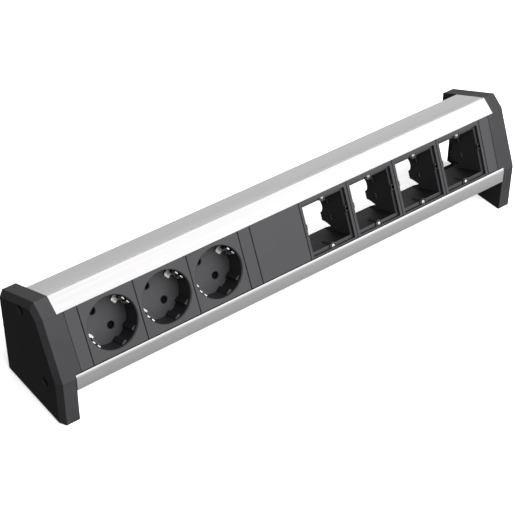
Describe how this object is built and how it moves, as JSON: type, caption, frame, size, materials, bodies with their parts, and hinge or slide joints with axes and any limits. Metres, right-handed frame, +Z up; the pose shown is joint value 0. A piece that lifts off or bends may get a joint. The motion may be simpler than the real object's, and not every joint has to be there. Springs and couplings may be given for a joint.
{
  "type": "desk power strip",
  "caption": "Sloped desk power strip: dark end caps carry aluminium profiles around a panel of recessed earthed sockets, a blank plate and open module frames.",
  "frame": {"origin": "bottom centre of the bounding box, on the desk under the anti-slip pads", "axes": "+X along the strip, +Y to the back, away from the socket panel, +Z up"},
  "size_m": [0.4298, 0.0764, 0.0938],
  "materials": {
    "cap_plastic": "fine matt texture, near black",
    "module_plastic": "smooth matt, near black",
    "socket_plastic": "smooth matt, near black",
    "frame_plastic": "smooth matt, near black",
    "housing_plastic": "moulded, slightly rough, black",
    "inlet_plastic": "moulded, black",
    "carrier_plastic": "moulded, off-white",
    "shutter_plastic": "slick, black",
    "anodised_aluminium": "satin natural anodised, brushed lengthways",
    "pad_rubber": "matt black",
    "black_screw": "black zinc",
    "zinc_screw": "bright zinc",
    "nickel_plate": "bright nickel plate",
    "pin_plate": "bright nickel plate",
    "contact_brass": "bare brass strip",
    "spring_steel": "spring wire"
  },
  "bodies": {
    "strip": {"blank_module": "module_plastic", "bottom_profile": "anodised_aluminium", "contact_carrier_1": "carrier_plastic", "contact_carrier_2": "carrier_plastic", "contact_carrier_3": "carrier_plastic", "earth_bar": "contact_brass", "earth_clip_1": "nickel_plate", "earth_clip_2": "nickel_plate", "earth_clip_3": "nickel_plate", "earth_pin": "pin_plate", "end_cap_left": "cap_plastic", "end_cap_right": "cap_plastic", "end_cap_screws": "black_screw", "filler_left": "module_plastic", "filler_middle": "module_plastic", "filler_right": "module_plastic", "foot_pads": "pad_rubber", "frame_screws": "zinc_screw", "housing_screws": "zinc_screw", "inlet_shell": "inlet_plastic", "junction_box": "housing_plastic", "line_bar": "contact_brass", "line_pin": "pin_plate", "module_frame_1": "frame_plastic", "module_frame_2": "frame_plastic", "module_frame_3": "frame_plastic", "module_frame_4": "frame_plastic", "neutral_bar": "contact_brass", "neutral_pin": "pin_plate", "socket_cover_1": "socket_plastic", "socket_cover_2": "socket_plastic", "socket_cover_3": "socket_plastic", "socket_housing_1": "housing_plastic", "socket_housing_2": "housing_plastic", "socket_housing_3": "housing_plastic", "top_profile": "anodised_aluminium"},
    "shutter_1": {"shutter_1": "shutter_plastic", "shutter_spring_1": "spring_steel"},
    "shutter_2": {"shutter_2": "shutter_plastic", "shutter_spring_2": "spring_steel"},
    "shutter_3": {"shutter_3": "shutter_plastic", "shutter_spring_3": "spring_steel"}
  },
  "joints": [
    {"name": "shutter_1_turn", "type": "hinge", "parent": "strip", "child": "shutter_1", "pos_m": [-0.16275, -0.00875, 0.05542], "axis": [0, -0.9191, 0.3939], "range_deg": [0, 40], "stiffness_Nm_per_rad": 0.004, "springref_deg": -20.05},
    {"name": "shutter_2_turn", "type": "hinge", "parent": "strip", "child": "shutter_2", "pos_m": [-0.11775, -0.00875, 0.05542], "axis": [0, -0.9191, 0.3939], "range_deg": [0, 40], "stiffness_Nm_per_rad": 0.004, "springref_deg": -20.05},
    {"name": "shutter_3_turn", "type": "hinge", "parent": "strip", "child": "shutter_3", "pos_m": [-0.07275, -0.00875, 0.05542], "axis": [0, -0.9191, 0.3939], "range_deg": [0, 40], "stiffness_Nm_per_rad": 0.004, "springref_deg": -20.05}
  ]
}
